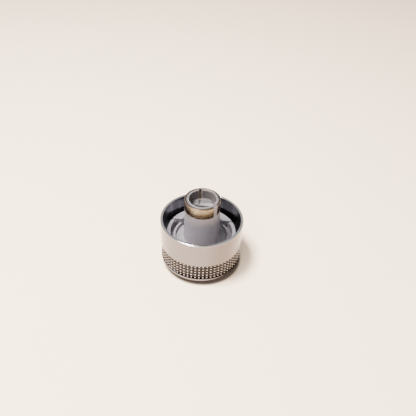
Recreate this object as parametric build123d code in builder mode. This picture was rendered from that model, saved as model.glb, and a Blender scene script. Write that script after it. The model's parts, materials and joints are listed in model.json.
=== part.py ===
# Push-on control knob: a knurled metal shell, a moulded insert and a spring ring.
# The knob lies on its face: the face points to -Z, and the shaft enters from +Z.
# The origin is the centre of the flat face, on the knob's axis. Sizes are in mm.
from build123d import *
import math
import os

os.makedirs("parts", exist_ok=True)

# ---------------------------------------------------------------- driving sizes
# The shaft that the knob is pushed on: 6 mm round with a flat.
shaft_radius = 3.0
shaft_flat = 1.5  # distance of the shaft's flat from its axis
shaft_clearance = 0.02  # radial gap, and the gap at the flat

# Shell: face, bead, grip band and skirt, from the face up
knob_radius = 10.0
face_edge_width = 1.38  # the rounded edge between the flat face and the bead, across and up
face_edge_height = 0.75
bead_height = 1.05
grip_height = 4.4
skirt_height = 6.5
rim_wall = 0.7
face_wall = 1.2
bead_inset = 0.27  # the bead is smaller than the skirt by this much
grip_inset = 0.13  # the knurl's points are smaller than the skirt by this much
bead_round = 0.45
rim_outer_round = 0.23
rim_inner_round = 0.21

# Knurl: axial grooves cut the ribs, ring grooves cut the ribs into points
knurl_count = 66
knurl_rows = 5
axial_groove_share = 0.88  # part of the pitch that a groove takes
axial_groove_depth = 0.38
ring_groove_share = 0.8  # part of a row's height that a groove takes
ring_groove_depth = 0.32

# Insert: an outer wall and a deck that hold the column
seat_wall = 1.58  # the shell is this thick at the seat that holds the insert
insert_wall = 0.8
insert_below_rim = 4.0  # end of the outer wall, below the shell's rim
insert_seat_depth = 1.5  # the outer wall stands this far above its seat in the shell
seat_clearance = 0.02  # radial gap between the insert and its seat
deck_below_rim = 6.2
deck_thickness = 1.2
lip_gap = 0.75  # from the outer wall to the raised lip on the deck
lip_wall = 0.5
lip_height = 0.9
block_front = 3.9  # the raised block behind the column starts at this distance from the axis
notch_width = 0.5  # notches in front of the block, on both sides
notch_depth = 0.8
web_count = 6
web_thickness = 0.8

# Column, with the split collet at its end
column_draft = 1.3  # degrees, wider towards the face
collet_above_rim = 5.85
collet_wall = 0.49
collet_round = 0.1
mouth_clearance = 0.22  # radial gap between the shaft and the round mouth of the bore
mouth_depth = 2.4  # round part of the bore, before the flat starts
flat_lead_in = 0.9  # slope that guides the shaft's flat onto the bore's flat, on the +Y side
bore_floor = 1.0  # plastic that closes the bore
slit_width = 0.62
slit_depth = 3.4
slit_offset = 0.66  # the slit runs along Y, at this distance from the axis on the -X side

# Spring ring, with the key that stands in its gap
ring_wall = 0.47
ring_height = 2.9
ring_below_end = 0.05
ring_clearance = 0.02  # radial gap between the ring and the collet
ring_edge_round = 0.1
key_width = 0.95
key_clearance = 0.08  # on each side of the key
key_angle = -42.0  # degrees from +X

# ---------------------------------------------------------------- levels and radii
bead_top = face_edge_height + bead_height
skirt_bottom = bead_top + grip_height
rim_top = skirt_bottom + skirt_height
bead_radius = knob_radius - bead_inset
grip_radius = knob_radius - grip_inset
cavity_radius = knob_radius - rim_wall
seat_radius = knob_radius - seat_wall
insert_radius = seat_radius - seat_clearance
lip_radius = insert_radius - insert_wall - lip_gap
face_radius = bead_radius - bead_round
face_flat_radius = face_radius - face_edge_width
insert_top = rim_top - insert_below_rim
seat_top = insert_top - insert_seat_depth
deck_top = rim_top - deck_below_rim
deck_bottom = deck_top - deck_thickness

collet_end = rim_top + collet_above_rim
bore_radius = shaft_radius + shaft_clearance
mouth_radius = shaft_radius + mouth_clearance
flat_distance = shaft_flat + shaft_clearance
bore_bottom = face_wall + bore_floor
flat_end = collet_end - mouth_depth
collet_radius = mouth_radius + collet_wall
ring_inner_radius = collet_radius + ring_clearance
column_radius = ring_inner_radius + ring_wall  # at the shoulder under the ring
shoulder = collet_end - ring_below_end - ring_height
draft_slope = math.tan(math.radians(column_draft))
column_foot_radius = column_radius + (shoulder - deck_top) * draft_slope

# ---------------------------------------------------------------- shell
# One turned and plated cup: flat face with a rounded edge, bead, knurled grip band and smooth skirt.
bead_mid = bead_round * math.sin(math.radians(45))
axial_pitch = 2 * math.pi * grip_radius / knurl_count
axial_half_width = axial_groove_share * axial_pitch / 2
row_height = grip_height / knurl_rows
ring_half_width = ring_groove_share * row_height / 2

with BuildPart() as knurled_shell:
    with BuildSketch(Plane.XZ):
        with BuildLine():
            Line((0, 0), (face_flat_radius, 0))
            TangentArc((face_flat_radius, 0), (face_radius, face_edge_height), tangent=(1, 0))
            ThreePointArc(
                (face_radius, face_edge_height),
                (face_radius + bead_mid, face_edge_height + bead_round - bead_mid),
                (bead_radius, face_edge_height + bead_round),
            )
            Polyline(
                (bead_radius, face_edge_height + bead_round),
                (bead_radius, bead_top),
                (grip_radius, bead_top),
                (grip_radius, skirt_bottom),
                (knob_radius, skirt_bottom),
                (knob_radius, rim_top),
                (cavity_radius, rim_top),
                (cavity_radius, seat_top),
                (seat_radius, seat_top),
                (seat_radius, face_wall),
                (0, face_wall),
                (0, 0),
            )
        make_face()
    revolve(axis=Axis.Z)
    # Each groove is a V whose sides run on past the points of the knurl.
    with BuildSketch(Plane.XY.offset(bead_top)):
        with PolarLocations(0, knurl_count):
            Polygon(
                (grip_radius - axial_groove_depth, 0),
                (grip_radius + axial_groove_depth, 2 * axial_half_width),
                (grip_radius + axial_groove_depth, -2 * axial_half_width),
                align=None,
            )
    extrude(amount=grip_height, mode=Mode.SUBTRACT)
    with BuildSketch(Plane.XZ):
        for row in range(1, knurl_rows):
            with Locations((grip_radius, bead_top + row * row_height)):
                Polygon(
                    (-ring_groove_depth, 0),
                    (ring_groove_depth, 2 * ring_half_width),
                    (ring_groove_depth, -2 * ring_half_width),
                    align=None,
                )
    revolve(axis=Axis.Z, mode=Mode.SUBTRACT)
    rim_edges = knurled_shell.edges().filter_by(GeomType.CIRCLE).group_by(Axis.Z)[-1]
    fillet(rim_edges.sort_by(SortBy.RADIUS)[-1], radius=rim_outer_round)
    rim_edges = knurled_shell.edges().filter_by(GeomType.CIRCLE).group_by(Axis.Z)[-1]
    fillet(rim_edges.sort_by(SortBy.RADIUS)[0], radius=rim_inner_round)
knurled_shell.part.label = "knurled_shell"
export_step(knurled_shell.part, "parts/knurled_shell.step")

# ---------------------------------------------------------------- insert
# One moulding pressed into the shell: outer wall, deck with a lip, webs under the deck,
# and the column that ends in a thin collet with one slit.
with BuildPart() as moulded_insert:
    with BuildSketch(Plane.XZ):
        with BuildLine():
            Polyline(
                (0, face_wall),
                (column_foot_radius, face_wall),
                (column_foot_radius, deck_bottom),
                (insert_radius - insert_wall, deck_bottom),
                (insert_radius - insert_wall, face_wall),
                (insert_radius, face_wall),
                (insert_radius, insert_top),
                (insert_radius - insert_wall, insert_top),
                (insert_radius - insert_wall, deck_top),
                (lip_radius, deck_top),
                (lip_radius, deck_top + lip_height),
                (lip_radius - lip_wall, deck_top + lip_height),
                (lip_radius - lip_wall, deck_top),
                (column_foot_radius, deck_top),
                (column_radius, shoulder),
                (collet_radius, shoulder),
                (collet_radius, collet_end - collet_round),
                (collet_radius - collet_round, collet_end),
                (0, collet_end),
                (0, face_wall),
            )
        make_face()
    revolve(axis=Axis.Z)
    # Webs under the deck, from the column to the outer wall.
    web_start = column_foot_radius - web_thickness / 2
    web_length = insert_radius - insert_wall / 2 - web_start
    with BuildSketch(Plane.XY.offset(face_wall)):
        with PolarLocations(web_start + web_length / 2, web_count):
            Rectangle(web_length, web_thickness)
    extrude(until=Until.NEXT)
    # Raised block on the deck, behind the column and between the lip and the outer wall.
    with BuildSketch(Plane.XY.offset(deck_top)):
        Circle(insert_radius - insert_wall / 2)
        Circle(lip_radius - lip_wall, mode=Mode.SUBTRACT)
        with Locations((0, block_front - insert_radius)):
            Rectangle(2 * insert_radius, 2 * insert_radius, mode=Mode.SUBTRACT)
    extrude(amount=insert_top - deck_top)
    # Notches in the end of the outer wall, against the block's front faces.
    with BuildSketch(Plane.XY.offset(insert_top)):
        with GridLocations(2 * (insert_radius - insert_wall / 2), 0, 2, 1):
            with Locations((0, block_front - notch_width / 2)):
                Rectangle(3 * insert_wall, notch_width)
    extrude(amount=-notch_depth, mode=Mode.SUBTRACT)
    # Key that stands in the ring's gap, flush with the column.
    with BuildSketch(Plane.XY.offset(shoulder)):
        Circle(column_radius)
        with PolarLocations(column_radius, 1, start_angle=key_angle):
            Rectangle(2 * (column_radius - mouth_radius) - collet_wall, key_width, mode=Mode.INTERSECT)
    extrude(amount=ring_below_end + ring_height)
    # Bore: round at its mouth, then D-shaped, closed at the bottom.
    with BuildSketch(Plane.XY.offset(collet_end)):
        Circle(mouth_radius)
    extrude(amount=-mouth_depth, mode=Mode.SUBTRACT)
    with BuildSketch(Plane.XY.offset(flat_end)):
        Circle(bore_radius)
        with Locations((0, flat_distance + bore_radius)):
            Rectangle(2 * bore_radius, 2 * bore_radius, mode=Mode.SUBTRACT)
    extrude(amount=bore_bottom - flat_end, mode=Mode.SUBTRACT)
    flat_edges = moulded_insert.edges().filter_by(Axis.X).filter_by_position(Axis.Z, flat_end, flat_end)
    chamfer(flat_edges, length=flat_lead_in)
    # Slit through one side of the collet and the top of the column.
    with BuildSketch(Plane.XY.offset(collet_end)):
        with Locations((-slit_offset, column_foot_radius / 2)):
            Rectangle(slit_width, column_foot_radius)
    extrude(amount=-slit_depth, mode=Mode.SUBTRACT)
moulded_insert.part.label = "moulded_insert"
export_step(moulded_insert.part, "parts/moulded_insert.step")

# ---------------------------------------------------------------- spring ring
# Bent from flat strip; it stands on the shoulder and squeezes the collet.
with BuildPart() as spring_ring:
    with BuildSketch(Plane.XZ):
        with Locations((ring_inner_radius + ring_wall / 2, shoulder + ring_height / 2)):
            RectangleRounded(ring_wall, ring_height, ring_edge_round)
    revolve(axis=Axis.Z)
    with BuildSketch(Plane.XY.offset(shoulder)):
        with PolarLocations(column_radius, 1, start_angle=key_angle):
            Rectangle(4 * ring_wall, key_width + 2 * key_clearance)
    extrude(amount=ring_height, mode=Mode.SUBTRACT)
spring_ring.part.label = "spring_ring"
export_step(spring_ring.part, "parts/spring_ring.step")
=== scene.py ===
import json
import math

import bmesh
import bpy
import numpy as np
from mathutils import Matrix, Vector


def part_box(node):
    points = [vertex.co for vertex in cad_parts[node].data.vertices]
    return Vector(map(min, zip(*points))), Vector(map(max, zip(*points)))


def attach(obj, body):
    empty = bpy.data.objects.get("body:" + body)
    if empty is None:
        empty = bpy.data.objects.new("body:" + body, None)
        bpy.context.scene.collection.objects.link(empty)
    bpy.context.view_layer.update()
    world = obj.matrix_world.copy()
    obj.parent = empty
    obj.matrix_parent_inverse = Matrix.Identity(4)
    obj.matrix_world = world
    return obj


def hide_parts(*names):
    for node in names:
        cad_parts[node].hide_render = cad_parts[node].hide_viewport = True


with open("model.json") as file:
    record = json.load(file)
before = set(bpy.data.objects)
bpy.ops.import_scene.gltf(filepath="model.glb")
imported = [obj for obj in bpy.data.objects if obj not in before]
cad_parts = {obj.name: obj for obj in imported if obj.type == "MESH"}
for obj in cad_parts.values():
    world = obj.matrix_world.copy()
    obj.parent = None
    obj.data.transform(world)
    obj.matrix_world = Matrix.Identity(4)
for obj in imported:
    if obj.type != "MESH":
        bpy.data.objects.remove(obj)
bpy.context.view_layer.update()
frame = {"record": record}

# ---------------------------------------------------------------------------------------------
# Knurled shell: one turned cup of brass, nickelled and chromed all over. It lies on its flat face.
# From the face up: rounded edge, bead, knurled grip band, smooth skirt and a rounded rim.
# The plating is bright outside and thins out to a dull grey inside the cup, darkened further there as painted
# shade.
MM = 0.001
shell_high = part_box("knurled_shell")[1]
knob_radius = shell_high.x
rim_top = shell_high.z
face_wall = 1.2 * MM
cavity_radius = knob_radius - 0.7 * MM
seat_radius = 8.42 * MM
seat_top = rim_top - 5.5 * MM
bead_radius = knob_radius - 0.27 * MM
grip_radius = knob_radius - 0.13 * MM
bead_top = 1.8 * MM
skirt_bottom = rim_top - 6.5 * MM
knurl_count = 66
knurl_rows = 5
knurl_pitch = 2 * math.pi * grip_radius / knurl_count
row_height = (skirt_bottom - bead_top) / knurl_rows
axial_depth = 0.38 * MM
axial_half_width = 0.44 * knurl_pitch
ring_depth = 0.32 * MM
ring_half_width = 0.4 * row_height


def rounded_profile(corners, steps=4):
    """A line of (r, z) points through corners given as (r, z, radius).

    A corner with a radius becomes an arc that touches both of its sides: each arc point is the
    arc's centre plus the radius times the direction turned evenly from one touching point to the
    other. A point close before and after each arc keeps the flats beside it flat when shaded.
    """
    line = [np.array(corners[0][:2])]
    for before, corner, after in zip(corners, corners[1:], corners[2:]):
        point, radius = np.array(corner[:2]), corner[2]
        if radius == 0:
            line.append(point)
            continue
        back, on = np.array(before[:2]) - point, np.array(after[:2]) - point
        back_length, on_length = np.linalg.norm(back), np.linalg.norm(on)
        back, on = back / back_length, on / on_length
        half = math.acos(np.clip(back @ on, -1, 1)) / 2
        touch = radius / math.tan(half)
        middle = point + (back + on) / np.linalg.norm(back + on) * radius / math.sin(half)
        first, last = point + back * touch - middle, point + on * touch - middle
        share = np.linspace(0, 1, steps + 1)[:, None]
        turn = math.pi - 2 * half
        arc = (np.sin((1 - share) * turn) * first + np.sin(share * turn) * last) / math.sin(turn)
        if back_length > 3 * touch:
            line.append(point + back * touch * 1.5)
        line.extend(middle + arc)
        if on_length > 3 * touch:
            line.append(point + on * touch * 1.5)
    line.append(np.array(corners[-1][:2]))
    return np.array(line)


def grid_piece(name, x, y, z, sharp=38.0):
    """A closed mesh from a grid of points: row i is one step along the profile, column j one
    step around the axis. Each face joins (i, j), (i, j+1), (i+1, j+1) and (i+1, j), and the
    last column joins the first. Points that fall together are merged, which closes the poles.
    """
    rows, columns = x.shape
    index = np.arange(rows * columns).reshape(rows, columns)
    following = np.roll(index, -1, axis=1)
    faces = np.stack([index[:-1], following[:-1], following[1:], index[1:]], axis=-1).reshape(-1, 4)
    mesh = bpy.data.meshes.new(name)
    mesh.from_pydata(np.stack([x, y, z], axis=-1).reshape(-1, 3), [], faces)
    work = bmesh.new()
    work.from_mesh(mesh)
    bmesh.ops.remove_doubles(work, verts=work.verts, dist=0.002 * MM)
    bmesh.ops.dissolve_degenerate(work, edges=work.edges, dist=0.001 * MM)
    bmesh.ops.recalc_face_normals(work, faces=work.faces)
    work.to_mesh(mesh)
    work.free()
    mesh.shade_smooth()
    mesh.set_sharp_from_angle(angle=math.radians(sharp))
    piece = bpy.data.objects.new(name, mesh)
    bpy.context.scene.collection.objects.link(piece)
    return piece


face_flat = 7.9 * MM
face_edge_height = 0.75 * MM
face_radius = bead_radius - 0.45 * MM
edge_turn = np.linspace(0, 1, 9)[1:, None]
edge_ends = np.array([[face_flat, 0.0], [face_radius, 0.0], [face_radius, face_edge_height]])
face_edge = ((1 - edge_turn) ** 2 * edge_ends[0] + 2 * edge_turn * (1 - edge_turn) * edge_ends[1]
             + edge_turn ** 2 * edge_ends[2])
face_disc = np.stack([np.linspace(0, face_flat, 7), np.zeros(7)], axis=-1)
bead = rounded_profile([
    (face_radius, face_edge_height, 0),
    (bead_radius, face_edge_height, 0.38 * MM),
    (bead_radius, bead_top, 0.22 * MM),
    (grip_radius - 0.1 * MM, bead_top, 0),
], 6)[1:]
grip_z = bead_top + row_height * np.linspace(0, knurl_rows, knurl_rows * 10 + 1)
grip = np.stack([np.full_like(grip_z, grip_radius), grip_z], axis=-1)
skirt_levels = np.linspace(skirt_bottom + 0.5 * MM, rim_top - 0.6 * MM, 6)
upper_corners = [(knob_radius - 0.3 * MM, skirt_bottom, 0), (knob_radius, skirt_bottom, 0.12 * MM)]
upper_corners += [(knob_radius, level, 0) for level in skirt_levels]
upper_corners += [(knob_radius, rim_top, 0.23 * MM), (cavity_radius, rim_top, 0.21 * MM)]
upper_corners += [(cavity_radius, level, 0) for level in np.linspace(rim_top - 0.6 * MM, seat_top, 7)]
upper_corners += [(seat_radius, seat_top, 0), (seat_radius, face_wall, 0), (0, face_wall, 0)]
upper = rounded_profile(upper_corners, 6)
shell_line = np.concatenate([face_disc, face_edge, bead, grip, upper])
pitch_shares = np.array([0, 0.09, 0.26, 0.41, 0.5, 0.59, 0.74, 0.91])
shell_angle = ((np.arange(knurl_count)[:, None] + pitch_shares) * 2 * math.pi / knurl_count).ravel()


def knurl_depth(angle, level):
    """How far the knurled surface stands below the grip radius.

    Two sets of V grooves: one runs along the axis, its depth falling evenly from each groove's
    middle to its sides, and one runs around it, the same with height. The deeper of the two
    wins, through a rounded maximum: half of (a + b + the root of (a - b) squared plus a small
    square), so that the points of the knurl are a little worn.
    """
    across = (angle * grip_radius / knurl_pitch + 0.5) % 1 - 0.5
    along = ((level - bead_top) / row_height + 0.5) % 1 - 0.5
    axial = axial_depth * (1 - np.abs(across) * knurl_pitch / axial_half_width)
    ring = ring_depth * (1 - np.abs(along) * row_height / ring_half_width)
    round_off = 0.035 * MM
    both = (axial + ring + np.sqrt((axial - ring) ** 2 + round_off ** 2)) / 2
    return (both + np.sqrt(both ** 2 + round_off ** 2)) / 2 - 0.2 * round_off


shell_r = np.repeat(shell_line[:, :1], len(shell_angle), axis=1)
shell_z = np.repeat(shell_line[:, 1:], len(shell_angle), axis=1)
first_grip = len(face_disc) + len(face_edge) + len(bead)
in_grip = slice(first_grip, first_grip + len(grip))
shell_r[in_grip] -= knurl_depth(shell_angle[None, :], shell_z[in_grip])
shell_x, shell_y = shell_r * np.cos(shell_angle), shell_r * np.sin(shell_angle)
knurled_shell = grid_piece("chromed_shell", shell_x, shell_y, shell_z)


class Signal:
    """A socket of a material's node tree. Python operators on it add Math nodes."""

    def __init__(self, finish, socket):
        self.finish, self.socket = finish, socket

    def maths(self, operation, *values):
        return self.finish.node("ShaderNodeMath", {"operation": operation}, dict(enumerate(values)))

    def __add__(self, other): return self.maths("ADD", self, other)
    def __radd__(self, other): return self.maths("ADD", other, self)
    def __sub__(self, other): return self.maths("SUBTRACT", self, other)
    def __rsub__(self, other): return self.maths("SUBTRACT", other, self)
    def __mul__(self, other): return self.maths("MULTIPLY", self, other)
    def __rmul__(self, other): return self.maths("MULTIPLY", other, self)
    def __pow__(self, other): return self.maths("POWER", self, other)


class Finish:
    """A material under construction, with its Principled shader."""

    def __init__(self, name, **constants):
        self.material = bpy.data.materials.new(name)
        self.material.use_nodes = True
        self.tree = self.material.node_tree
        self.shader = self.tree.nodes["Principled BSDF"]
        for socket, value in constants.items():
            self.shader.inputs[socket.replace("_", " ")].default_value = value
        self.place = self.node("ShaderNodeTexCoord", output="Object")
        split = self.node("ShaderNodeSeparateXYZ", {}, {0: self.place}, output=None)
        self.x, self.y, self.z = (Signal(self, split.outputs[axis]) for axis in "XYZ")
        self.radius = (self.x * self.x + self.y * self.y) ** 0.5

    def put(self, socket, value):
        if isinstance(value, Signal):
            self.tree.links.new(value.socket, socket)
        else:
            socket.default_value = value

    def node(self, kind, settings=None, sockets=None, output=0):
        """Adds a node of a kind, sets its settings, then the values or links of its sockets."""
        made = self.tree.nodes.new(kind)
        for name, value in (settings or {}).items():
            setattr(made, name, value)
        for name, value in (sockets or {}).items():
            self.put(made.inputs[name], value)
        return made if output is None else Signal(self, made.outputs[output])

    def noise(self, scale, detail=3.0, roughness=0.55, stretch=None, where=None):
        """Cloudy noise from 0 to 1. Stretch multiplies the coordinates before the scale."""
        where = where or self.place
        if stretch:
            where = self.node("ShaderNodeVectorMath", {"operation": "MULTIPLY"}, {0: where, 1: stretch})
        return self.node("ShaderNodeTexNoise", {}, {
            "Vector": where, "Scale": scale, "Detail": detail, "Roughness": roughness})

    def step(self, value, low, high):
        """A smooth step: 0 below low, 1 above high."""
        return self.node("ShaderNodeMapRange", {"interpolation_type": "SMOOTHSTEP"}, {
            "Value": value, "From Min": low, "From Max": high})

    def mix(self, share, first, second):
        """The first colour where share is 0, the second where it is 1."""
        first, second = ((*c, 1) if isinstance(c, tuple) else c for c in (first, second))
        return self.node("ShaderNodeMix", {"data_type": "RGBA"}, {0: share, 6: first, 7: second}, output=2)

    def turned(self, around, along):
        """Coordinates that run around the axis: (angle x around, radius x along, height x along)."""
        angle = self.node("ShaderNodeMath", {"operation": "ARCTAN2"}, {0: self.y, 1: self.x})
        return self.node("ShaderNodeCombineXYZ", {}, {
            0: angle * around, 1: self.radius * along, 2: self.z * along})

    def bump(self, height, strength, distance, under=None):
        sockets = {"Height": height, "Strength": strength, "Distance": distance}
        if under is not None:
            sockets["Normal"] = under
        return self.node("ShaderNodeBump", {}, sockets)

    def finish(self, **surface):
        for socket, value in surface.items():
            self.put(self.shader.inputs[socket.replace("_", " ")], value)
        return self.material


# Chrome: a mirror with a light haze of smears from handling, fine turning marks and a few scratches,
# dirt and painted shade in the knurl's grooves, painted shade on the face's edge under the bead,
# painted glints on the knurl's points, a painted highlight on the rim's top and a painted reflection
# of shadow on the front right. Inside, the plating is dull and thin and is darkened further as painted
# shade, with paler streaks and more painted shade on the right. The base colours are kept low, to
# suit the renderer's tone curve.
chrome = Finish("bright_chrome", Metallic=1.0)
marks = chrome.noise(1.0, 2.0, 0.6, where=chrome.turned(3.0, 9000.0))
scratches = chrome.noise(420.0, 2.0, 0.4, stretch=(1.0, 0.18, 0.5))
smears = chrome.noise(160.0, 4.0, 0.6)
in_band = chrome.step(chrome.z, bead_top, bead_top + 0.1 * MM) * chrome.step(
    chrome.z, skirt_bottom, skirt_bottom - 0.1 * MM) * chrome.step(
    chrome.radius, cavity_radius + 0.1 * MM, cavity_radius + 0.2 * MM)
groove = in_band * chrome.step(chrome.radius, grip_radius - 0.05 * MM, grip_radius - 0.16 * MM)
point = in_band * chrome.step(chrome.radius, grip_radius - 0.05 * MM, grip_radius - 0.01 * MM)
inside = (1 - chrome.step(chrome.radius, cavity_radius - 0.02 * MM, cavity_radius + 0.12 * MM)) * chrome.step(
    chrome.z, face_wall * 0.5, face_wall)
colour = chrome.mix(smears, (0.198, 0.19, 0.207), (0.17, 0.162, 0.177))
# Painted reflection of shadow: a darker tan patch on the shell's front right.
reflected_shade = chrome.step(chrome.x, 0.5 * MM, 5.0 * MM) * chrome.step(chrome.y, 0.0, -3.0 * MM)
colour = chrome.mix(reflected_shade * 0.6, colour, (0.115, 0.094, 0.083))
# Painted highlight: the rim's top is lightened.
rim_highlight = chrome.step(chrome.z, rim_top - 0.3 * MM, rim_top - 0.16 * MM)
colour = chrome.mix(rim_highlight * 0.85, colour, (0.46, 0.445, 0.455))
# Painted glint: the knurl's points get a bright colour.
colour = chrome.mix(point * 0.9, colour, (0.8, 0.81, 0.85))
# Painted shade: the cup's inside is darkened, together with its dull thin plating.
colour = chrome.mix(inside * 0.9, colour, (0.11, 0.11, 0.125))
# The knurl's grooves are darkened: dirt and painted shade.
colour = chrome.mix(groove * 0.94, colour, (0.038, 0.035, 0.035))
# Painted shade on the face's rounded edge under the bead.
face_edge_shade = chrome.step(
    chrome.z, face_edge_height + 0.05 * MM, face_edge_height - 0.15 * MM) * chrome.step(
    chrome.radius, face_flat, face_flat + 0.3 * MM)
colour = chrome.mix(face_edge_shade * 0.75, colour, (0.06, 0.05, 0.045))
streaks = chrome.noise(1.0, 3.0, 0.6, where=chrome.turned(6.0, 90.0))
colour = chrome.mix(inside * chrome.step(streaks, 0.48, 0.62) * 0.55, colour, (0.3, 0.295, 0.31))
# Painted shade on the right side of the cup's inside.
inner_right_shade = inside * chrome.step(chrome.x, 1.0 * MM, 6.0 * MM)
colour = chrome.mix(inner_right_shade * 0.7, colour, (0.03, 0.03, 0.034))
fine_scratch = chrome.step(scratches, 0.62, 0.7)
gloss = 0.05 + smears * 0.07 + fine_scratch * 0.1 + inside * 0.06 + groove * 0.15
chrome_bump = chrome.bump(marks, 0.10, 0.003 * MM)
chrome_bump = chrome.bump(smears, 0.05, 0.02 * MM, chrome_bump)
knurled_shell.data.materials.append(chrome.finish(Base_Color=colour, Roughness=gloss, Normal=chrome_bump))
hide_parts("knurled_shell")
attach(knurled_shell, "root")

# ---------------------------------------------------------------------------------------------
# Moulded insert: one injection moulding of grey plastic, pressed into the cup. A deck with a
# lip, a raised block between two notches in the outer wall, and the drafted column. It ends in a
# thin collet with one slit, a D-shaped bore and a key beside which the spring ring's ends stand.
insert_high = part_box("moulded_insert")[1]
insert_radius = insert_high.x
collet_end = insert_high.z
bore = next(mount for mount in frame["record"]["mounts"] if mount["name"] == "shaft_bore")
mouth_radius = bore["dims"]["r_mm"] * MM
mouth_depth = bore["dims"]["length_mm"] * MM
bore_radius = 3.02 * MM
flat_distance = 1.52 * MM
flat_lead_in = 0.9 * MM
bore_bottom = face_wall + 1.0 * MM
flat_end = collet_end - mouth_depth
insert_wall = 0.8 * MM
insert_top = rim_top - 4.0 * MM
deck_top = rim_top - 6.2 * MM
deck_bottom = deck_top - 1.2 * MM
lip_radius = 6.85 * MM
lip_wall = 0.5 * MM
lip_height = 0.9 * MM
collet_radius = mouth_radius + 0.49 * MM
ring_low, ring_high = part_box("spring_ring")
column_radius = ring_high.y
shoulder = ring_low.z
column_foot_radius = column_radius + (shoulder - deck_top) * math.tan(math.radians(1.3))
slit_width = 0.62 * MM
slit_bottom = collet_end - 3.4 * MM
slit_offset = 0.66 * MM
key_width = 0.95 * MM
key_angle = math.radians(-42)
block_front = 3.9 * MM
block_radius = lip_radius - lip_wall
notch_width = 0.5 * MM
notch_depth = 0.8 * MM
web_thickness = 0.8 * MM
rib_height = 0.05 * MM
web_angles = np.radians(np.arange(6) * 60)

insert_corners = [
    (0, face_wall, 0),
    (column_foot_radius, face_wall, 0.1 * MM),
    (column_foot_radius, deck_bottom, 0.15 * MM),
    (insert_radius - insert_wall, deck_bottom, 0.15 * MM),
    (insert_radius - insert_wall, face_wall, 0.1 * MM),
    (insert_radius, face_wall, 0.15 * MM),
    (insert_radius, insert_top, 0.1 * MM),
    (insert_radius - insert_wall, insert_top, 0.1 * MM),
    (insert_radius - insert_wall, deck_top, 0.12 * MM),
    (lip_radius, deck_top, 0.1 * MM),
    (lip_radius, deck_top + lip_height, 0.12 * MM),
    (lip_radius - lip_wall, deck_top + lip_height, 0.12 * MM),
    (lip_radius - lip_wall, deck_top, 0.1 * MM),
    (column_foot_radius, deck_top, 0.25 * MM),
    (column_radius, shoulder, 0.04 * MM),
    (collet_radius, shoulder, 0),
    (collet_radius, collet_end, 0.1 * MM),
    (mouth_radius, collet_end, 0.09 * MM),
    (mouth_radius, flat_end, 0),
]
insert_line = rounded_profile(insert_corners, 4)

feature_edges = []


def parallel_edges(middle, offset, width, radius):
    """The angles, at a radius, of the two sides of a parallel-sided feature: the middle
    direction plus the arc sine of (offset plus or minus half the width) over the radius."""
    sides = offset + np.array([-width, width]) / 2
    low, high = middle + np.arcsin(sides / radius)
    feature_edges.append((low, high))
    return low, high


slit_sides = parallel_edges(math.pi / 2, slit_offset, slit_width, bore_radius)
key_sides = parallel_edges(key_angle, 0, key_width, bore_radius)
wall_radius = insert_radius - insert_wall / 2
notch_middle = block_front - notch_width / 2
notch_sides = [parallel_edges(0, notch_middle, notch_width, wall_radius),
               parallel_edges(math.pi, -notch_middle, notch_width, wall_radius)]
web_radius = (column_foot_radius + wall_radius) / 2
web_sides = [parallel_edges(angle, 0, web_thickness, web_radius) for angle in web_angles]
hair = 2e-6
least_spacing = 0.006
edges = np.array(feature_edges)
flat_corner = math.asin(flat_distance / bore_radius)
ledge_corner = math.asin((flat_distance + flat_lead_in) / bore_radius)
corners = np.array([flat_corner, ledge_corner, math.pi - ledge_corner, math.pi - flat_corner])
marked = np.concatenate([edges[:, 0] - hair, edges[:, 0], edges[:, 1], edges[:, 1] + hair, corners])
marked = (marked + math.pi) % (2 * math.pi) - math.pi
even = np.linspace(-math.pi, math.pi, 241)[:-1]
even = even[np.abs(even[:, None] - marked).min(axis=1) > least_spacing]
turn = np.sort(np.concatenate([even, marked]))


def between(sides):
    """Which columns of the grid lie in a feature, counting its own two edges."""
    low, high = sides
    middle, half = (low + high) / 2, (high - low) / 2
    away = (turn - middle + math.pi) % (2 * math.pi) - math.pi
    return np.abs(away) < half + hair / 2


def keep_parallel(radius):
    """The angle of each column at a radius. Near the slit, the key and the raised block's two
    front faces the columns run parallel to that feature's middle plane: middle + arc sine of
    (reference radius x sine of (angle - middle) / radius). A bell-shaped weight lets them fan
    out again on both sides, and another one inside the block's inner radius."""
    angle = np.broadcast_to(turn, (len(radius), len(turn))).copy()
    near_column = np.clip(radius, bore_radius, column_foot_radius)[:, None]
    near_wall = np.clip(radius, block_radius, insert_radius)[:, None]
    to_block = np.clip((radius - column_foot_radius - 0.4 * MM) / (1.2 * MM), 0, 1)[:, None]
    reach, fade = 0.62, 0.4
    for middle, centre, reference, place, share in (
            (math.pi / 2, sum(slit_sides) / 2, bore_radius, near_column, 1 - to_block),
            (key_angle, key_angle, bore_radius, near_column, 1 - to_block),
            (0, notch_sides[0][1], wall_radius, near_wall, to_block),
            (math.pi, notch_sides[1][0], wall_radius, near_wall, to_block)):
        away = (turn - centre + math.pi) % (2 * math.pi) - math.pi
        weight = np.clip((reach - np.abs(away)) / fade, 0, 1)
        weight = weight * weight * (3 - 2 * weight) * share
        sine = np.clip(reference * np.sin(turn - middle) / place, -1, 1)
        parallel = middle + np.arcsin(sine)
        angle += np.where(weight > 0, weight * ((parallel - turn + math.pi) % (2 * math.pi) - math.pi), 0)
    return angle


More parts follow.
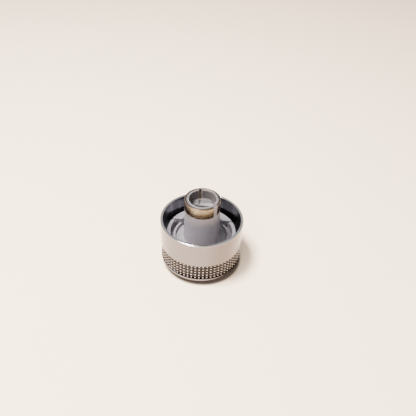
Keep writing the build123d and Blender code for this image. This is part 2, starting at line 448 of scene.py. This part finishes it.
insert_angle = keep_parallel(insert_line[:, 0])
insert_r = np.repeat(insert_line[:, :1], len(turn), axis=1)
insert_z = np.repeat(insert_line[:, 1:], len(turn), axis=1)
row_r, row_z = insert_line[:, 0], insert_line[:, 1]
in_key, in_slit = between(key_sides), between(slit_sides)
in_notch = np.any([between(sides) for sides in notch_sides], axis=0)
in_web = np.any([between(sides) for sides in web_sides], axis=0)
on_collet = (row_z >= shoulder) & (row_r > collet_radius - 0.09 * MM)
insert_r = np.where(on_collet[:, None] & in_key, np.maximum(insert_r, column_radius), insert_r)
post_rib = (row_z > deck_top + 0.4 * MM) & (row_z < shoulder - 0.01 * MM) & (row_r < column_foot_radius)
insert_r = np.where(post_rib[:, None] & in_key, insert_r + rib_height, insert_r)
on_wall = (row_r > insert_radius - insert_wall - 0.01 * MM) & (row_z > insert_top - notch_depth)
insert_z = np.where(on_wall[:, None] & in_notch, np.minimum(insert_z, insert_top - notch_depth), insert_z)
in_block = (turn > notch_sides[0][1] + hair / 2) & (turn < notch_sides[1][0] - hair / 2)
on_block = (row_z > deck_top - 0.01 * MM) & (row_r < insert_radius - insert_wall + 0.01 * MM) & (
    row_r > block_radius + 0.15 * MM)
block_edge = (row_z > deck_top + lip_height / 2) & (row_r < block_radius + 0.15 * MM) & (
    row_r > block_radius - 0.01 * MM)
insert_z = np.where(on_block[:, None] & in_block, insert_top, insert_z)
insert_z = np.where(block_edge[:, None] & in_block, insert_z + insert_top - deck_top - lip_height, insert_z)
under_deck = (row_z < deck_bottom + 0.01 * MM) & (row_r > column_foot_radius - 0.2 * MM) & (
    row_r < insert_radius - insert_wall + 0.2 * MM)
insert_z = np.where(under_deck[:, None] & in_web, np.minimum(insert_z, face_wall), insert_z)
insert_x, insert_y = insert_r * np.cos(insert_angle), insert_r * np.sin(insert_angle)

# The bore below its round mouth. Each column keeps its x: the wall's y is the root of radius
# squared less x squared, and on the flat's side y stops at the flat, behind a 45 degree slope.
bore_x, wall_y = bore_radius * np.cos(turn), bore_radius * np.sin(turn)
slope_start = flat_distance + flat_lead_in
ledge_y = np.minimum(wall_y, slope_start)
ledge_z = flat_end - np.clip(slope_start - ledge_y, 0, flat_lead_in)
ledge_z = np.where(wall_y < slope_start, flat_end - np.clip(slope_start - wall_y, 0, flat_lead_in), ledge_z)
flat_y = np.minimum(wall_y, flat_distance)
slope_z = np.full_like(turn, flat_end - flat_lead_in)
level = np.full_like(turn, flat_end)
bore_rows = [(bore_x, wall_y, level), (bore_x, wall_y, ledge_z), (bore_x, ledge_y, ledge_z)]
bore_rows += [(bore_x, flat_y, slope_z)]
bore_rows += [(bore_x, flat_y, np.full_like(turn, depth))
              for depth in np.linspace(flat_end - flat_lead_in, bore_bottom, 8)[1:]]
bore_rows += [(bore_x * share, flat_y * share, np.full_like(turn, bore_bottom)) for share in (0.6, 0.3, 0.0)]
bore_x, bore_y, bore_z = (np.array(values) for values in zip(*bore_rows))
insert_x = np.concatenate([insert_x, bore_x])
insert_y = np.concatenate([insert_y, bore_y])
insert_z = np.concatenate([insert_z, bore_z])
column_start = np.argmax((row_z > deck_top + 1 * MM) & (row_r < lip_radius - lip_wall))
on_column = np.arange(len(insert_z)) >= column_start
insert_z = np.where(on_column[:, None] & in_slit, np.minimum(insert_z, slit_bottom), insert_z)
moulded_insert = grid_piece("moulded_insert_body", insert_x, insert_y, insert_z, 30.0)

# Grey plastic: satin mould finish with a fine grain, faint flow clouds, a little dust settled on
# the decks, and grime on the collet's end. Painted shade darkens the low decks, the bore and the
# D-flat, a painted shadow lies under the ring's left side, and painted light lightens the column.
plastic = Finish("grey_plastic", Specular_IOR_Level=0.45, Subsurface_Weight=0.6,
                 Subsurface_Scale=2.5 * MM, Subsurface_Radius=(1.0, 0.95, 0.95))
clouds = plastic.noise(330.0, 4.0, 0.6)
grain = plastic.noise(9000.0, 2.0, 0.5)
drag = plastic.noise(1.0, 3.0, 0.6, stretch=(2600.0, 2600.0, 260.0))
dust = plastic.step(plastic.noise(1500.0, 4.0, 0.7), 0.5, 0.75)
low_deck = 1 - plastic.step(plastic.z, insert_top - 0.5 * MM, insert_top + 1.5 * MM)
colour = plastic.mix(clouds, (0.205, 0.186, 0.206), (0.175, 0.157, 0.176))
colour = plastic.mix(drag * 0.22, colour, (0.23, 0.21, 0.235))
# Painted shade: everything below the insert's top is darkened.
colour = plastic.mix(low_deck * 0.75, colour, (0.105, 0.098, 0.108))
colour = plastic.mix(dust * low_deck * 0.25, colour, (0.26, 0.245, 0.26))
in_mouth = plastic.step(plastic.radius, mouth_radius + 0.12 * MM, mouth_radius) * plastic.step(
    plastic.z, bore_bottom, slit_bottom)
collet_face = plastic.step(plastic.z, collet_end - 0.12 * MM, collet_end - 0.04 * MM)
on_ledge = in_mouth * plastic.step(plastic.z, flat_end + 0.02 * MM, flat_end - 0.05 * MM) * (
    plastic.step(plastic.y, flat_distance - 0.1 * MM, flat_distance + 0.1 * MM))
collet_rim = plastic.step(plastic.radius, mouth_radius + 0.1 * MM, mouth_radius + 0.3 * MM)
# Painted shade in the bore; grime on the collet's end face, darkest towards its outer edge.
bore_shade_and_end_grime = in_mouth * 0.86 + collet_face * (0.55 + collet_rim * 0.35)
colour = plastic.mix(bore_shade_and_end_grime, colour, (0.07, 0.06, 0.056))
# Painted shade on the D-flat and its lead-in below the ledge.
colour = plastic.mix(on_ledge * 0.5, colour, (0.035, 0.032, 0.033))
# Painted light: the column below the ring is lightened, more towards its foot.
on_post = plastic.step(plastic.radius, column_foot_radius + 0.3 * MM, column_foot_radius + 0.05 * MM) * (
    plastic.step(plastic.z, shoulder + 0.05 * MM, shoulder))
post_foot = plastic.step(plastic.z, shoulder - 1.5 * MM, deck_top + 1.0 * MM)
colour = plastic.mix(on_post * (0.15 + post_foot * 0.75), colour, (0.225, 0.199, 0.217))
# Painted light: more again on the column's right side.
right_side_light = plastic.step(plastic.x, -2.0 * MM, 3.0 * MM)
colour = plastic.mix(on_post * right_side_light * 0.7, colour, (0.33, 0.298, 0.325))
# Painted shadow on the column under the ring's left side.
ring_shadow = on_post * plastic.step(plastic.z, shoulder - 1.3 * MM, shoulder - 0.2 * MM) * (
    plastic.step(plastic.x, -1.8 * MM, -3.6 * MM))
colour = plastic.mix(ring_shadow * 0.75, colour, (0.08, 0.068, 0.062))
sheen = 0.36 + clouds * 0.12 + grain * 0.06 + low_deck * 0.12 + dust * low_deck * 0.15
plastic_bump = plastic.bump(grain, 0.12, 0.01 * MM)
plastic_bump = plastic.bump(drag, 0.10, 0.02 * MM, plastic_bump)
moulded_insert.data.materials.append(plastic.finish(Base_Color=colour, Roughness=sheen, Normal=plastic_bump))
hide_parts("moulded_insert")
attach(moulded_insert, "root")

# ---------------------------------------------------------------------------------------------
# Spring ring: flat phosphor bronze strip with rolled edges, bent round the collet until its ends
# nearly meet at the key. It squeezes the collet onto the shaft.
ring_inner_radius = collet_radius + 0.02 * MM
ring_middle = (ring_inner_radius + column_radius) / 2
ring_top = ring_high.z
ring_round = 0.1 * MM
section = rounded_profile([
    (ring_middle, shoulder, 0),
    (column_radius, shoulder, ring_round),
    (column_radius, ring_top, ring_round),
    (ring_inner_radius, ring_top, ring_round),
    (ring_inner_radius, shoulder, ring_round),
    (ring_middle, shoulder, 0),
], 5)[:-1]
half_gap = key_width / 2 + 0.08 * MM
share = np.linspace(0, 1, 181)
section_r, section_z = section[:, 0], section[:, 1]
gap_angle = np.arcsin(half_gap / section_r)
ring_angle = key_angle + gap_angle + share[:, None] * (2 * math.pi - 2 * gap_angle)
ring_r = np.broadcast_to(section_r, ring_angle.shape)
ring_x, ring_y = ring_r * np.cos(ring_angle), ring_r * np.sin(ring_angle)
ring_z = np.broadcast_to(section_z, ring_angle.shape)
ring_level = (shoulder + ring_top) / 2


def capped(values, first, last):
    """The strip's rows with one more row at each end, drawn together to the middle of the end."""
    ends = [np.full((1, values.shape[1]), value) for value in (first, last)]
    return np.concatenate([ends[0], values, ends[1]])


ring_ends = key_angle + np.arcsin(half_gap / ring_middle) * np.array([1, -1])
ring_x = capped(ring_x, *(ring_middle * np.cos(ring_ends)))
ring_y = capped(ring_y, *(ring_middle * np.sin(ring_ends)))
ring_z = capped(ring_z, ring_level, ring_level)
spring_ring = grid_piece("bronze_spring_ring", ring_x, ring_y, ring_z)

# Bronze: bright rolled strip with fine lines along it, brown tarnish in patches and on the edges,
# and painted shade darkening it towards the strip's left and right sides.
bronze = Finish("spring_bronze", Metallic=1.0)
rolling = bronze.noise(1.0, 3.0, 0.6, where=bronze.turned(2.0, 16000.0))
patches = bronze.noise(900.0, 4.0, 0.6)
edge = bronze.step(bronze.z, shoulder + 0.45 * MM, shoulder) + bronze.step(
    bronze.z, ring_top - 0.22 * MM, ring_top - 0.02 * MM)
tarnish = bronze.step(patches + edge * 0.6, 0.5, 0.85)
colour = bronze.mix(tarnish, (0.25, 0.205, 0.137), (0.085, 0.064, 0.047))
# Painted shade: the strip darkens towards its left and right sides.
away_left = bronze.step(bronze.x, -1.6 * MM, -3.6 * MM)
away_right = bronze.step(bronze.x, 2.0 * MM, 3.8 * MM)
colour = bronze.mix((away_left + away_right) * 0.9, colour, (0.075, 0.062, 0.056))
gloss = 0.16 + patches * 0.1 + tarnish * 0.14
bronze_bump = bronze.bump(rolling, 0.15, 0.006 * MM)
spring_ring.data.materials.append(bronze.finish(Base_Color=colour, Roughness=gloss, Normal=bronze_bump))
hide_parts("spring_ring")
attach(spring_ring, "root")

# ---------------------------------------------------------------------------------------------
# Stage: a pale warm table top with a very fine grain, lit by a soft lamp high on the left and a
# weaker, larger one in front. A narrow dark ring in the table's colour stands in for the contact
# shadow. A pale room is around it, and the camera looks down into the knob.
table_half = 0.6
span = np.linspace(-table_half, table_half, 3)
table_x, table_y = np.meshgrid(span, span)
table_mesh = bpy.data.meshes.new("table_top")
table_corners = np.arange(9).reshape(3, 3)
table_faces = np.stack([table_corners[:-1, :-1], table_corners[:-1, 1:], table_corners[1:, 1:],
                        table_corners[1:, :-1]], axis=-1).reshape(-1, 4)
table_mesh.from_pydata(np.stack([table_x, table_y, 0 * table_x], axis=-1).reshape(-1, 3), [], table_faces)
table_top = bpy.data.objects.new("table_top", table_mesh)
bpy.context.scene.collection.objects.link(table_top)
paper = Finish("pale_table", Specular_IOR_Level=0.3)
tone = paper.noise(35.0, 3.0, 0.5)
fibre = paper.noise(2500.0, 3.0, 0.6)
colour = paper.mix(tone, (0.98, 0.75, 0.55), (0.96, 0.73, 0.53))
aside, ahead = paper.x - 0.35 * MM, paper.y + 0.35 * MM
from_shade = (aside * aside + ahead * ahead) ** 0.5
contact = paper.step(from_shade, knob_radius + 0.25 * MM, bead_radius - 0.25 * MM)
colour = paper.mix(contact * 0.95, colour, (0.09, 0.07, 0.056))
table_mesh.materials.append(paper.finish(
    Base_Color=colour, Roughness=0.55 + fibre * 0.1, Normal=paper.bump(fibre, 0.05, 0.01 * MM)))


def soft_lamp(name, place, size, watts, colour):
    """A square area lamp that points at the knob."""
    light = bpy.data.lights.new(name, "AREA")
    light.energy, light.size, light.color = watts, size, colour
    lamp = bpy.data.objects.new(name, light)
    bpy.context.scene.collection.objects.link(lamp)
    lamp.location = place
    lamp.rotation_euler = (Vector((0, 0, 0.01)) - lamp.location).to_track_quat("-Z", "Y").to_euler()
    return lamp


soft_lamp("key_lamp", Vector((-0.1, -0.022, 0.33)), 0.085, 6.0, (1.0, 0.98, 0.96))
soft_lamp("front_lamp", Vector((-0.11, -0.22, 0.25)), 0.16, 0.8, (1.0, 0.99, 0.98))
room = bpy.data.worlds.new("pale_room")
room.use_nodes = True
room_tree = room.node_tree
direction = room_tree.nodes.new("ShaderNodeTexCoord").outputs["Generated"]
split_direction = room_tree.nodes.new("ShaderNodeSeparateXYZ")
room_tree.links.new(direction, split_direction.inputs[0])
walls = room_tree.nodes.new("ShaderNodeMapRange")
room_tree.links.new(split_direction.outputs["Z"], walls.inputs["Value"])
horizon_light, zenith_light = 0.3, 1.4
walls.inputs["To Min"].default_value = horizon_light
walls.inputs["To Max"].default_value = zenith_light
background = room_tree.nodes["Background"]
background.inputs["Color"].default_value = (1.0, 0.985, 0.97, 1)
room_tree.links.new(walls.outputs["Result"], background.inputs["Strength"])
bpy.context.scene.world = room

view_angle = math.radians(39.52)
view_roll = math.radians(2.8)
forward = Vector((0, math.cos(view_angle), -math.sin(view_angle)))
right = Vector((1, 0, 0))
up = right.cross(forward)
rolled_right = math.cos(view_roll) * right + math.sin(view_roll) * up
rolled_up = math.cos(view_roll) * up - math.sin(view_roll) * right
camera_place = Matrix((rolled_right, rolled_up, -forward)).transposed().to_4x4()
camera_place.translation = Vector((0.134, -8.177, 7.052)) * knob_radius + Vector((0, 0, rim_top))
camera = bpy.data.objects.new("camera", bpy.data.cameras.new("camera"))
bpy.context.scene.collection.objects.link(camera)
camera.matrix_world = camera_place
camera.data.sensor_width = 36
camera.data.lens = 38.96827
camera.data.clip_start = 0.001
bpy.context.scene.camera = camera
